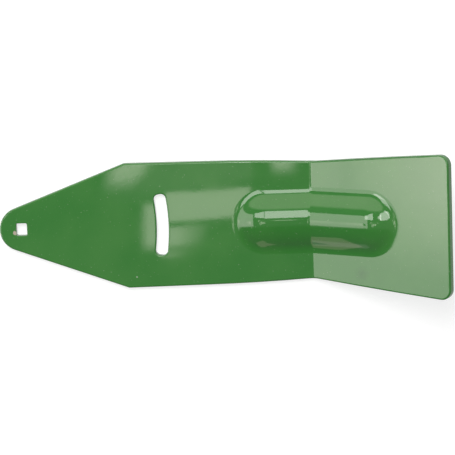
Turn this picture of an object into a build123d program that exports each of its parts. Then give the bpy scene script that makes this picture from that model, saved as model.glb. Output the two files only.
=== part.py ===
import os
from math import acos, asin, cos, hypot, radians, sin

from build123d import *

# All sizes in mm. Origin: centre of the pivot hole on the underside of the arm.
# +X runs along the arm towards the flap, +Z is the side the bead stands up on.

thickness = 8.0

# arm, seen from above
tip_radius = 23.5            # round end, concentric with the pivot hole
shoulder_x = 112.0           # where the tapered sides reach full width
shoulder_half_width = 67.1
shoulder_round = 5.0
straight_end_x = 196.0       # from here the sides draw in beside the bead
straight_end_half_width = 66.4
draw_in_x = 262.0
draw_in_half_width = 65.1
fold_half_width = 63.1
fold_flat = 4.0              # width stays constant this far either side of the fold

# fold and flap
fold_x = 309.1               # where the two top faces would meet
fold_angle = 30.0
fold_inner_radius = 6.0
flap_length = 160.8          # from the fold line to the end, along the top face
flap_middle = 86.0            # the sides bow out a little here
flap_middle_half_width = 70.3
flap_end_half_width = 75.9
flap_corner_round = 11.0

# bead pressed across the fold
bead_half_width = 35.6       # to the outer edge of its foot
bead_rise = 12.0
bead_foot_radius = 18.0      # hollow curve where it grows out of the sheet
bead_arm_end_x = 224.5
bead_flap_end = 103.5        # from the fold line, along the flap

# pivot hole and adjusting slot
pivot_length = 11.3          # along the arm
pivot_width = 13.3
pivot_corner_round = 1.5
slot_x = 150.6               # middle of the slot from the pivot hole
slot_curve_radius = 196.0    # bowed away from the pivot, flatter than a swing about it
slot_width = 12.7
slot_length = 66.1
slot_corner_round = 5.2

# edges
top_edge_round = 1.8
under_edge_round = 0.8
slot_edge_round = 1.6
pivot_edge_round = 0.9

half_fold = radians(fold_angle / 2)
flap_normal = Vector(-sin(radians(fold_angle)), 0, cos(radians(fold_angle)))
fold_top = Vector(fold_x, 0, thickness)
fold_under = fold_top - flap_normal * thickness

# local frame of the flap: x away from the fold, z = 0 on its underside
flap_frame = Plane(
    origin=fold_under,
    x_dir=(cos(radians(fold_angle)), 0, sin(radians(fold_angle))),
    z_dir=flap_normal,
)


def arm_outline():
    # tangent from the tip circle to the shoulder point
    reach = hypot(shoulder_x, shoulder_half_width)
    bearing = asin(shoulder_half_width / reach)
    touch = bearing + acos(tip_radius / reach)
    touch_x, touch_y = tip_radius * cos(touch), tip_radius * sin(touch)
    over_x = fold_x + 40

    def side(sign):
        touch_point = (touch_x, sign * touch_y)
        shoulder = (shoulder_x, sign * shoulder_half_width)
        straight = (straight_end_x, sign * straight_end_half_width)
        drawn = (fold_x - fold_flat, sign * fold_half_width)
        over = (over_x, sign * fold_half_width)
        return [
            Line(touch_point, shoulder),
            Line(shoulder, straight),
            ThreePointArc(straight, (draw_in_x, sign * draw_in_half_width), drawn),
            Line(drawn, over),
        ]

    tip = ThreePointArc(
        (touch_x, touch_y), (-tip_radius, 0), (touch_x, -touch_y)
    )
    end = Line((over_x, fold_half_width), (over_x, -fold_half_width))
    face = make_face([tip, end] + side(1) + side(-1))
    shoulders = [v for v in face.vertices() if abs(v.X - shoulder_x) < 0.1]
    return fillet(shoulders, shoulder_round)


def flap_outline():
    inner_x = -40

    def side(sign):
        inner = (inner_x, sign * fold_half_width)
        start = (fold_flat, sign * fold_half_width)
        middle = (flap_middle, sign * flap_middle_half_width)
        corner = (flap_length, sign * flap_end_half_width)
        return [Line(inner, start), ThreePointArc(start, middle, corner)]

    ends = [Line((x, -half_width), (x, half_width))
            for x, half_width in ((inner_x, fold_half_width),
                                  (flap_length, flap_end_half_width))]
    face = make_face(side(1) + side(-1) + ends)
    corners = [v for v in face.vertices() if abs(v.X - flap_length) < 0.1]
    return fillet(corners, flap_corner_round)


def bead_section():
    """Half section of the bead wall in Y (as x) and Z (as y), even thickness."""
    radii_sum = (bead_half_width**2 + bead_rise**2) / (2 * bead_rise)
    crest_radius = radii_sum - bead_foot_radius
    lean = asin(bead_half_width / radii_sum)
    top_z = thickness + bead_rise
    crest_centre = Vector(0, top_z - crest_radius)
    foot_centre = Vector(bead_half_width, thickness + bead_foot_radius)

    def crest_point(radius, angle):
        return crest_centre + Vector(sin(angle), cos(angle)) * radius

    def foot_point(radius, angle):
        return foot_centre - Vector(sin(angle), cos(angle)) * radius

    inner_crest = crest_radius - thickness
    outer_foot = bead_foot_radius + thickness
    return make_face([
        ThreePointArc(crest_point(crest_radius, 0), crest_point(crest_radius, lean / 2),
                      crest_point(crest_radius, lean)),
        ThreePointArc(crest_point(crest_radius, lean),
                      foot_point(bead_foot_radius, lean / 2),
                      foot_point(bead_foot_radius, 0)),
        Line(foot_point(bead_foot_radius, 0), foot_point(outer_foot, 0)),
        ThreePointArc(foot_point(outer_foot, 0), foot_point(outer_foot, lean / 2),
                      foot_point(outer_foot, lean)),
        ThreePointArc(crest_point(inner_crest, lean), crest_point(inner_crest, lean / 2),
                      crest_point(inner_crest, 0)),
        Line(crest_point(inner_crest, 0), crest_point(crest_radius, 0)),
    ])


def beaded_sheet(outline, end_x, inward):
    """Flat sheet with one half of the bead; inward = +1 if the bead runs to +X."""
    centre_x = end_x + inward * bead_half_width
    run = 140.0
    sheet = extrude(outline, amount=thickness)
    footprint = Location((centre_x, 0, -1)) * extrude(
        Circle(bead_half_width), amount=thickness + 2
    )
    footprint += Location((centre_x + inward * run / 2, 0, thickness / 2)) * Box(
        run, 2 * bead_half_width, thickness + 2
    )
    sheet = sheet - footprint

    half = bead_section()
    both = half + mirror(half, about=Plane.YZ)
    standing = Plane(origin=(centre_x, 0, 0), x_dir=(0, 1, 0), z_dir=(1, 0, 0))
    straight = extrude(standing.location * both, amount=inward * run)
    dome = revolve(standing.location * half,
                   axis=Axis((centre_x, 0, 0), (0, 0, 1)),
                   revolution_arc=inward * 180)
    return sheet + (straight + dome)


def keep_side(solid, arm_side):
    """Cut at the plane that halves the fold angle."""
    cutter = Box(600, 400, 400, align=(Align.MIN, Align.CENTER, Align.CENTER))
    mitre = Plane(origin=fold_top, x_dir=(cos(half_fold), 0, sin(half_fold)),
                  z_dir=(-sin(half_fold), 0, cos(half_fold)))
    if arm_side:
        return solid - mitre.location * cutter
    turned = Location((0, 0, 0), (0, 0, 180)) * cutter
    return solid - mitre.location * turned


def height_in_sheet(point):
    """Height over the underside of whichever flat the point belongs to."""
    beyond = (point - fold_top).dot(Vector(cos(half_fold), 0, sin(half_fold)))
    if beyond < 0:
        return point.Z
    return (point - fold_under).dot(flap_normal)


def fold_edges(solid, upper):
    """Edges lying in the halving plane, on the upper or the lower skin."""
    across = Vector(cos(half_fold), 0, sin(half_fold))
    found = []
    for edge in solid.edges():
        points = [edge @ 0, edge @ 0.5, edge @ 1]
        if any(abs((p - fold_top).dot(across)) > 0.01 for p in points):
            continue
        if abs(edge.tangent_at(0.5).Y) < 0.2:
            continue
        middle = points[1]
        lift = (middle - fold_top).dot(Vector(-sin(half_fold), 0, cos(half_fold)))
        skin = bead_lift(middle.Y)
        is_upper = abs(lift - skin) < abs(lift - skin + thickness)
        if is_upper == upper:
            found.append(edge)
    return found


def bead_lift(y):
    """Rise of the upper skin over the flat at a distance y from the middle."""
    radii_sum = (bead_half_width**2 + bead_rise**2) / (2 * bead_rise)
    crest_radius = radii_sum - bead_foot_radius
    y = abs(y)
    if y >= bead_half_width:
        return 0.0
    if y <= crest_radius * bead_half_width / radii_sum:
        return bead_rise - crest_radius + (crest_radius**2 - y**2) ** 0.5
    return bead_foot_radius - (bead_foot_radius**2 - (bead_half_width - y) ** 2) ** 0.5


def rim_edges(solid, upper):
    """Edges round the outside of the sheet, top or underside."""
    wanted = thickness if upper else 0.0
    found = []
    for edge in solid.edges():
        middle = edge @ 0.5
        ends = [edge @ 0, edge @ 1]
        if any(abs(height_in_sheet(p) - wanted) > 0.7 for p in ends + [middle]):
            continue
        if on_rim(middle):
            found.append(edge)
    return found


def on_rim(point):
    local = flap_frame.to_local_coords(point)
    if point.X < fold_x - 8:
        along = max(0.0, min(1.0, (point.X - shoulder_x) / (fold_x - shoulder_x)))
        side = shoulder_half_width + (fold_half_width - shoulder_half_width) * along
        inside_tip = hypot(point.X, point.Y) < tip_radius - 1
        if point.X < shoulder_x:
            return not inside_tip
        return abs(point.Y) > side - 2.5
    return local.X > flap_length - 1 or abs(point.Y) > fold_half_width - 1.5


def cut_openings(solid):
    square = Rectangle(pivot_length, pivot_width)
    square = fillet(square.vertices(), pivot_corner_round)
    solid = solid - Location((0, 0, -5)) * extrude(square, amount=thickness + 10)

    centre_x = slot_x - slot_curve_radius
    swing = slot_length / 2 / slot_curve_radius
    inner = slot_curve_radius - slot_width / 2
    outer = slot_curve_radius + slot_width / 2

    def at(radius, angle):
        return (centre_x + radius * cos(angle), radius * sin(angle))

    slot = make_face([
        ThreePointArc(at(inner, -swing), at(inner, 0), at(inner, swing)),
        Line(at(inner, swing), at(outer, swing)),
        ThreePointArc(at(outer, swing), at(outer, 0), at(outer, -swing)),
        Line(at(outer, -swing), at(inner, -swing)),
    ])
    slot = fillet(slot.vertices(), slot_corner_round)
    solid = solid - Location((0, 0, -5)) * extrude(slot, amount=thickness + 10)

    def mouth(test, z):
        return [e for e in solid.edges()
                if all(abs((e @ t).Z - z) < 0.01 for t in (0, 0.5, 1)) and test(e @ 0.5)]

    def near_pivot(p):
        return hypot(p.X, p.Y) < 12

    def near_slot(p):
        return abs(p.X - slot_x) < slot_width and abs(p.Y) < slot_length

    solid = fillet(mouth(near_pivot, thickness), pivot_edge_round)
    solid = fillet(mouth(near_slot, thickness), slot_edge_round)
    solid = fillet(mouth(near_pivot, 0), under_edge_round / 2)
    solid = fillet(mouth(near_slot, 0), under_edge_round / 2)
    return solid


def deflector_plate():
    arm = keep_side(beaded_sheet(arm_outline(), bead_arm_end_x, 1), True)
    flap = flap_frame.location * beaded_sheet(flap_outline(), bead_flap_end, -1)
    flap = keep_side(flap, False)
    plate = arm + flap
    plate = fillet(fold_edges(plate, upper=True), fold_inner_radius)
    plate = fillet(fold_edges(plate, upper=False), fold_inner_radius + thickness)
    plate = fillet(rim_edges(plate, upper=True), top_edge_round)
    plate = fillet(rim_edges(plate, upper=False), under_edge_round)
    return cut_openings(plate)


part = deflector_plate()
os.makedirs("parts", exist_ok=True)
export_step(part, "parts/deflector_plate.step")
box = part.bounding_box()
print("solids", len(part.solids()), "volume", round(part.volume),
      "box", [round(v, 1) for v in (box.size.X, box.size.Y, box.size.Z)])
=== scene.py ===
from math import cos, pi, radians, sin

import bpy
from mathutils import Matrix, Vector

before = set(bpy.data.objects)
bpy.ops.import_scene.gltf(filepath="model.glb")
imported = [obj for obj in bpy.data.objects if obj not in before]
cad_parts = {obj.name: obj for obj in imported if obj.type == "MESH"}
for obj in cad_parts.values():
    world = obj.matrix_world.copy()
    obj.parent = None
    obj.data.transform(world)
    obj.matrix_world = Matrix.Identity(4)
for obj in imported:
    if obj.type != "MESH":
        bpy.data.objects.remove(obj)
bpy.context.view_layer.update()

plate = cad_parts["deflector_plate"]
print("frame loaded")

photo = {
    "width": 455,                # pixels
    "metresPerPixel": 0.0010656,
    "lensPixels": 2000,          # focal length in pixels
    "pitch": 9.80,               # degrees, camera leaning to the +Y side of the arm
    "yaw": -2.21,
    "roll": 1.88,
    "pivotRight": -205.95,       # pivot hole from the picture's centre, pixels
    "pivotUp": -2.2,
    "armTop": 0.008,             # height of the arm's top face
}


def makeCamera():
    turn = (Matrix.Rotation(radians(photo["roll"]), 3, "Z")
            @ Matrix.Rotation(radians(photo["yaw"]), 3, "Y")
            @ Matrix.Rotation(radians(photo["pitch"]), 3, "X")).transposed()
    offset = Vector((-photo["pivotRight"], -photo["pivotUp"], photo["lensPixels"]))
    place = turn @ offset * photo["metresPerPixel"] + Vector((0, 0, photo["armTop"]))
    data = bpy.data.cameras.new("photoCamera")
    data.sensor_width = 36
    data.lens = 36 * photo["lensPixels"] / photo["width"]
    data.clip_end = 20
    camera = bpy.data.objects.new("photoCamera", data)
    camera.matrix_world = Matrix.Translation(place) @ turn.to_4x4()
    bpy.context.scene.collection.objects.link(camera)
    bpy.context.scene.camera = camera
    return place


class Wire:
    # wraps a socket, so that sums written in Python add their Math nodes
    def __init__(self, tree, socket):
        self.tree = tree
        self.socket = socket

    def node(self, kind, settings, inputs, output=0):
        made = self.tree.nodes.new("ShaderNode" + kind)
        for name, setting in settings.items():
            if name == "stops":
                self.setStops(made.color_ramp, setting)
            else:
                setattr(made, name, setting)
        for name, given in inputs.items():
            if isinstance(given, Wire):
                self.tree.links.new(given.socket, made.inputs[name])
            else:
                made.inputs[name].default_value = given
        return Wire(self.tree, made.outputs[output] if len(made.outputs) else None)

    def setStops(self, ramp, stops):
        while len(ramp.elements) < len(stops):
            ramp.elements.new(1.0)
        for element, (place, colour) in zip(ramp.elements, stops):
            element.position = place
            element.color = colour

    def sum(self, operation, first, second=0.0, clamp=False):
        return self.node("Math", {"operation": operation, "use_clamp": clamp},
                         {0: first, 1: second})

    def __add__(self, other):
        return self.sum("ADD", self, other)

    def __radd__(self, other):
        return self.sum("ADD", other, self)

    def __sub__(self, other):
        return self.sum("SUBTRACT", self, other)

    def __rsub__(self, other):
        return self.sum("SUBTRACT", other, self)

    def __mul__(self, other):
        return self.sum("MULTIPLY", self, other)

    def __rmul__(self, other):
        return self.sum("MULTIPLY", other, self)

    def __truediv__(self, other):
        return self.sum("DIVIDE", self, other)

    def low(self, limit):
        return self.sum("MINIMUM", self, limit)

    def high(self, limit):
        return self.sum("MAXIMUM", self, limit)

    def parts(self):
        apart = self.node("SeparateXYZ", {}, {0: self})
        return [Wire(self.tree, socket) for socket in apart.socket.node.outputs]


def newMaterial(name):
    material = bpy.data.materials.new(name)
    material.use_nodes = True
    material.node_tree.nodes.clear()
    return material, Wire(material.node_tree, None)


paint = {
    "colour": (0.018, 0.165, 0.013, 1),
    "thinColour": (0.030, 0.180, 0.020, 1),      # where the coat is a little thinner
    "dustColour": (0.20, 0.30, 0.17, 1),
    "edgeColour": (0.026, 0.170, 0.020, 1),
    "cloudScale": 16.0,          # per metre
    "dustScale": 520.0,
    "roughness": 0.045,
    "smudgeRoughness": 0.035,    # added in the cloudiest places
    "edgeRoughness": 0.16,
    "ior": 1.46,
    "peelScale": 330.0,
    "peelHeight": 0.000007,      # metres
    "waveScale": 24.0,
    "waveHeight": 0.00005,
    "rippleScale": 110.0,        # the pressed bead is less even than the flats
    "rippleHeight": 0.000018,
    "beadHalfWidth": 0.034,
    "beadFromTip": 0.229,
}
# chips and marks: place, radius, in metres, colour, and how far in the edge reaches
chips = [
    ((-0.0071, -0.0032, 0.008), 0.0024, (0.42, 0.36, 0.28, 1), 0.7),     # rim of the pivot hole
    ((0.1208, -0.0553, 0.008), 0.0010, (0.30, 0.36, 0.26, 1), 0.7),
    ((0.3598, -0.0540, 0.0373), 0.0095, (0.008, 0.120, 0.008, 1), 0.0),  # smudge on the flap
]
chipRaggedness = 0.9
chipRoughness = 0.3


def between(value, low, high):
    return value.node("MapRange", {}, {0: value, 1: low, 2: high})


def mixColour(share, first, second):
    return share.node("Mix", {"data_type": "RGBA"}, {0: share, 6: first, 7: second}, 2)


def paintMaterial():
    material, tree = newMaterial("greenPaint")
    place = tree.node("TexCoord", {}, {}, "Object")
    noise = {"noise_dimensions": "3D"}
    cloud = tree.node("TexNoise", noise, {"Vector": place, "Scale": paint["cloudScale"],
                                          "Detail": 3.0, "Roughness": 0.55})
    dust = tree.node("TexNoise", noise, {"Vector": place, "Scale": paint["dustScale"],
                                         "Detail": 1.0})
    peel = tree.node("TexNoise", noise, {"Vector": place, "Scale": paint["peelScale"],
                                         "Detail": 2.0, "Roughness": 0.4})
    wave = tree.node("TexNoise", noise, {"Vector": place, "Scale": paint["waveScale"],
                                         "Detail": 1.0})
    ripple = tree.node("TexNoise", noise, {"Vector": place, "Scale": paint["rippleScale"],
                                           "Detail": 2.0})
    alongArm, acrossArm = place.parts()[:2]
    pressed = between(acrossArm.sum("ABSOLUTE", acrossArm), paint["beadHalfWidth"], 0.028)
    pressed = pressed * between(alongArm, paint["beadFromTip"], 0.236)
    facing = tree.node("NewGeometry", {}, {}, "Normal").parts()[2]
    edge = between(facing.sum("ABSOLUTE", facing), 0.72, 0.5)     # cut edges and their rounds
    cloudy = between(cloud, 0.42, 0.68)
    specks = between(dust, 0.72, 0.78)
    colour = mixColour(cloudy, paint["colour"], paint["thinColour"])
    colour = mixColour(edge, colour, paint["edgeColour"])
    colour = mixColour(specks * 0.5, colour, paint["dustColour"])
    roughness = paint["roughness"] + cloudy * paint["smudgeRoughness"] + specks * 0.2
    roughness = roughness + edge * paint["edgeRoughness"]
    for chipPlace, radius, chipColour, core in chips:
        reach = place.node("VectorMath", {"operation": "DISTANCE"}, {0: place, 1: chipPlace}, "Value")
        ragged = reach + (peel - 0.5) * radius * chipRaggedness
        chip = between(ragged, radius, radius * core)
        colour = mixColour(chip, colour, chipColour)
        roughness = roughness + chip * core * chipRoughness
    height = peel * paint["peelHeight"] + wave * paint["waveHeight"]
    height = height + ripple * pressed * paint["rippleHeight"]
    bump = tree.node("Bump", {}, {"Height": height, "Strength": 1.0, "Distance": 1.0})
    surface = tree.node("BsdfPrincipled", {}, {
        "Base Color": colour,
        "Roughness": roughness,
        "IOR": paint["ior"],
        "Normal": bump,
    })
    tree.node("OutputMaterial", {}, {"Surface": surface})
    return material


studio = {
    "floorSize": 6.0,
    "floorTone": 0.42,
    "floorGlow": 0.72,           # added for camera, mirror and see-through rays only
    "ambient": 0.36,             # world light on the object
    "surround": 0.9,             # world as the camera and the paint's gloss see it
}


def seenRays(tree):
    path = tree.node("LightPath", {}, {})
    rays = path.socket.node.outputs
    return (Wire(tree.tree, rays["Is Camera Ray"]) + Wire(tree.tree, rays["Is Glossy Ray"])
            + Wire(tree.tree, rays["Is Transmission Ray"]))


def makeFloor():
    bpy.ops.object.select_all(action="DESELECT")
    bpy.ops.mesh.primitive_plane_add(size=studio["floorSize"], location=(0.2, 0, -0.0002))
    floor = bpy.context.active_object
    floor.name = "floor"
    material, tree = newMaterial("paleFloor")
    tone = studio["floorTone"]
    diffuse = tree.node("BsdfDiffuse", {}, {"Color": (tone, tone, tone, 1)})
    glow = tree.node("Emission", {}, {"Strength": seenRays(tree) * studio["floorGlow"]})
    both = tree.node("AddShader", {}, {0: diffuse, 1: glow})
    tree.node("OutputMaterial", {}, {"Surface": both})
    floor.data.materials.append(material)


def makeWorld():
    world = bpy.data.worlds.new("studio")
    world.use_nodes = True
    world.node_tree.nodes.clear()
    tree = Wire(world.node_tree, None)
    strength = seenRays(tree) * (studio["surround"] - studio["ambient"]) + studio["ambient"]
    back = tree.node("Background", {}, {"Color": (1, 1, 1, 1), "Strength": strength})
    tree.node("OutputWorld", {}, {"Surface": back})
    bpy.context.scene.world = world


# directions are degrees off the vertical: across leans to +X, along leans to +Y
def direction(across, along):
    return Vector((cos(radians(along)) * sin(radians(across)), sin(radians(along)),
                   cos(radians(along)) * cos(radians(across))))


key = {"across": -12, "along": 32, "distance": 2.2, "size": 1.4, "level": 0.88}


def makeKey():
    toward = direction(key["across"], key["along"])
    data = bpy.data.lights.new("softKey", "AREA")
    data.shape = "SQUARE"
    data.size = key["size"]
    # level is the share of its written colour that a surface facing the lamp shows
    data.energy = key["level"] * pi * pi * key["distance"] ** 2
    lamp = bpy.data.objects.new("softKey", data)
    lamp.location = Vector((0.2, 0, 0)) + toward * key["distance"]
    lamp.rotation_euler = toward.to_track_quat("Z", "Y").to_euler()
    lamp.visible_camera = False
    lamp.visible_glossy = False
    bpy.context.scene.collection.objects.link(lamp)


# softboxes that only the gloss sees: corners are directions from the aim point, lower left,
# lower right, upper left, upper right; soft is how far the brightness fades in from the left,
# right, low and high edge, as a share of the size
panels = {
    "overheadBox": {"corners": ((-4, 5.5), (13, 5.5), (-4, 28), (13, 28)), "soft": (0.01, 0.02, 0.03, 0.06),
                    "distance": 2.0, "aim": (0.30, 0, 0.02), "tint": (1.0, 0.98, 0.96), "radiance": 8.0},
    "crestCard": {"corners": ((-36, 8), (-2.8, 5.5), (-36, 20), (-2.8, 28)), "soft": (0.08, 0.01, 0.04, 0.06),
                  "distance": 0.3, "aim": (0.2535, 0.009, 0.0175), "tint": (1.0, 0.98, 0.96),
                  "radiance": 7.5},
    "domeWing": {"corners": ((-15, 16), (-2.5, 5.5), (-15, 17), (-2.5, 28)), "soft": (0.01, 0.01, 0.03, 0.06),
                 "distance": 0.3, "aim": (0.381, 0, 0.060), "tint": (1.0, 0.98, 0.96), "radiance": 8.0},
    "sideBox": {"corners": ((-95, -19.5), (-41, -19.5), (-95, 17), (-41, 17)),
                "soft": (0.02, 0.03, 0.10, 0.05),
                "distance": 1.2, "aim": (0.33, 0, 0.03), "tint": (1.0, 0.96, 0.9), "radiance": 4.2},
    "upperWall": {"corners": ((-150, 30), (110, 30), (-150, 88), (110, 88)), "soft": (0.03, 0.03, 0.1, 0.02),
                  "distance": 1.6, "aim": (0.30, 0, 0.02), "tint": (1.0, 0.97, 0.80), "radiance": 2.1},
    "lowFlag": {"corners": ((-130, -88), (60, -88), (-130, -15), (60, -15)), "soft": (0.1, 0.2, 0.02, 0.12),
                "distance": 2.4, "aim": (0.30, 0, 0.02), "tint": (1.0, 1.0, 1.0), "radiance": 0},
}

# cards seen mirrored in the flat faces: corners are where their picture lies in the photo,
# in pixels, lower left, lower right, upper left, upper right; height is over the face
cards = {
    "bandCard": {"face": "arm", "corners": ((164, 223), (251.5, 217), (164, 192), (251.5, 186.5)),
                 "soft": (0.02, 0.02, 0.05, 0.06), "radiance": 5.0},
    "bandLowCard": {"face": "arm", "corners": ((164, 252), (206, 246), (164, 227), (212, 223)),
                    "soft": (0.02, 0.75, 0.3, 0.06), "radiance": 4.7},
    "slotCard": {"face": "arm", "corners": ((139, 254), (158, 254), (139, 200), (158, 200)),
                 "soft": (0.5, 0.02, 0.2, 0.15), "radiance": 4.8},
    "slotEndCard": {"face": "arm", "corners": ((160, 258.5), (198, 253), (160, 252.5), (198, 251)),
                    "soft": (0.1, 0.7, 0.1, 0.2), "radiance": 4.0},
    "shoulderCard": {"face": "arm", "corners": ((98, 196), (136, 192), (104, 156), (162, 154)),
                     "soft": (0.3, 0.35, 0.45, 0.02), "radiance": 8.5},
    "fieldCard": {"face": "arm", "corners": ((90, 214), (254, 189), (100, 156), (254, 156)),
                  "soft": (0.35, 0.02, 0.5, 0.02), "radiance": 0.8},
    "foldCard": {"face": "arm", "corners": ((268, 176), (300, 176), (268, 157), (300, 157)),
                 "soft": (0.25, 0.4, 0.7, 0.02), "radiance": 5.5},
    "flapUpperCard": {"face": "flap", "corners": ((296, 262), (466, 288), (296, 148), (466, 140)),
                      "soft": (0.02, 0.02, 0.7, 0.02), "radiance": 1.4},
    "flapEndCard": {"face": "flap", "corners": ((340, 262), (466, 285), (340, 148), (466, 140)),
                    "soft": (0.8, 0.02, 0.6, 0.02), "radiance": 3.2},
}
cardFaces = {
    "arm": {"height": 0.5, "tint": (1.0, 0.97, 0.84)},
    "flap": {"height": 1.2, "tint": (1.0, 0.87, 0.82)},
}
# cards that stand near the plate: corners are places, in metres
standingCards = {
    # beside the arm, mirrored in the lower side of the bead
    "lowCard": {"corners": ((0.165, -0.13, 0.001), (0.305, -0.20, 0.003), (0.235, -0.124, 0.060),
                            (0.244, -0.127, 0.062)),
                "soft": (0.02, 0.02, 0.02, 0.02), "tint": (1.0, 0.72, 0.66), "radiance": 1.2},
}
panelSteps = 12
flagDepth = 0.4                  # share of the surround that a flag holds back
foldLine = {"x": 0.3091, "angle": 30}


def softEdges(tree, soft):
    across, along = tree.node("TexCoord", {}, {}, "UV").parts()[:2]
    left, right, low, high = soft
    fade = (across / left).low(1) * ((1 - across) / right).low(1)
    return fade * (along / low).low(1) * ((1 - along) / high).low(1)


def glossOnly(card, name, soft, tint, radiance):
    # glow is added to what is behind, so that one card doesn't hide another; with no
    # radiance the card is a flag, which only dims what is behind
    material, tree = newMaterial(name)
    share = softEdges(tree, soft)
    if radiance:
        glow = tree.node("Emission", {}, {"Color": (*tint, 1), "Strength": share * radiance})
        clear = tree.node("BsdfTransparent", {}, {})
        surface = tree.node("AddShader", {}, {0: glow, 1: clear})
    else:
        dimmed = mixColour(share * flagDepth, (1, 1, 1, 1), (0, 0, 0, 1))
        surface = tree.node("BsdfTransparent", {}, {"Color": dimmed})
    tree.node("OutputMaterial", {}, {"Surface": surface})
    card.name = name
    card.data.materials.append(material)
    card.visible_camera = False
    card.visible_diffuse = False
    card.visible_transmission = False
    card.visible_shadow = False


def makePanel(name, panel):
    lowLeft, lowRight, highLeft, highRight = [Vector(corner) for corner in panel["corners"]]
    bpy.ops.object.select_all(action="DESELECT")
    bpy.ops.mesh.primitive_grid_add(x_subdivisions=panelSteps, y_subdivisions=panelSteps, size=1)
    card = bpy.context.active_object
    for vertex in card.data.vertices:
        low = lowLeft.lerp(lowRight, vertex.co.x + 0.5)
        high = highLeft.lerp(highRight, vertex.co.x + 0.5)
        toward = direction(*low.lerp(high, vertex.co.y + 0.5))
        vertex.co = Vector(panel["aim"]) + toward * panel["distance"]
    glossOnly(card, name, panel["soft"], panel["tint"], panel["radiance"])


def mirroredPlace(pixel, face):
    if face == "arm":
        base, normal = Vector((0, 0, photo["armTop"])), Vector((0, 0, 1))
    else:
        tilt = radians(foldLine["angle"])
        base, normal = Vector((foldLine["x"], 0, photo["armTop"])), Vector((-sin(tilt), 0, cos(tilt)))
    middle = photo["width"] / 2
    turn = bpy.context.scene.camera.matrix_world.to_3x3()
    ray = turn @ Vector((pixel[0] - middle, middle - pixel[1], -photo["lensPixels"])).normalized()
    point = cameraPlace + ray * ((base - cameraPlace).dot(normal) / ray.dot(normal))
    mirrored = ray - 2 * ray.dot(normal) * normal
    return point + mirrored * (cardFaces[face]["height"] / mirrored.dot(normal))


def makeCard(name, corners, values, tint):
    bpy.ops.object.select_all(action="DESELECT")
    bpy.ops.mesh.primitive_plane_add(size=1)
    card = bpy.context.active_object
    for vertex, corner in zip(card.data.vertices, corners):
        vertex.co = corner
    glossOnly(card, name, values["soft"], tint, values["radiance"])


cameraPlace = makeCamera()
print("camera placed", [round(v, 3) for v in cameraPlace])
makeFloor()
makeWorld()
makeKey()
for panelName, panelValues in panels.items():
    makePanel(panelName, panelValues)
for cardName, cardValues in cards.items():
    face = cardValues["face"]
    corners = [mirroredPlace(pixel, face) for pixel in cardValues["corners"]]
    makeCard(cardName, corners, cardValues, cardFaces[face]["tint"])
for cardName, cardValues in standingCards.items():
    makeCard(cardName, cardValues["corners"], cardValues, cardValues["tint"])
print("studio ready")

plate.data.materials[0] = paintMaterial()
print("plate painted")

bpy.context.scene.view_settings.view_transform = "Standard"
